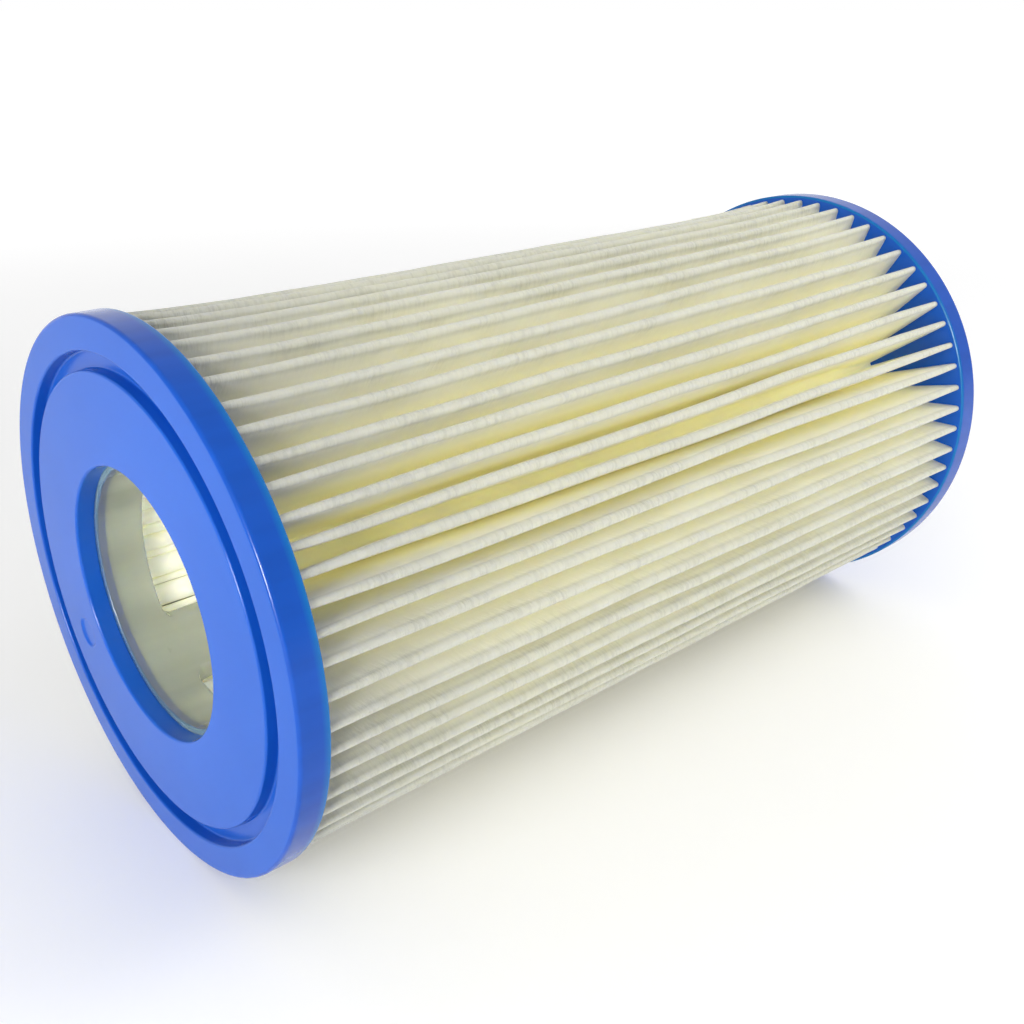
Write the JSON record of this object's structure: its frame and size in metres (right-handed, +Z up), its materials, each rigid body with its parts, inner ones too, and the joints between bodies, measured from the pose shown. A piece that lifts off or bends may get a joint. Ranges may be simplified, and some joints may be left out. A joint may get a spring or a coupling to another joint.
{
  "type": "pool filter cartridge",
  "caption": "Round pleated filter cartridge with cast end caps, an open bore and a windowed centre core, lying on its side.",
  "frame": {"origin": "on the surface the cartridge lies on, under the middle of its length", "axes": "+Y along the axis from the front cap to the rear cap, +Z up"},
  "size_m": [0.106, 0.203, 0.106],
  "materials": {
    "cap": "smooth cast plastic, semi-gloss, slightly translucent",
    "core": "clear, slightly milky moulded plastic",
    "media": "non-woven polyester sheet, matt, fine fibres",
    "seam": "set hot-melt bead"
  },
  "bodies": {
    "root": {"front_cap": "cap", "rear_cap": "cap", "core_tube": "core", "pleated_media": "media", "media_seam": "seam"}
  },
  "joints": []
}
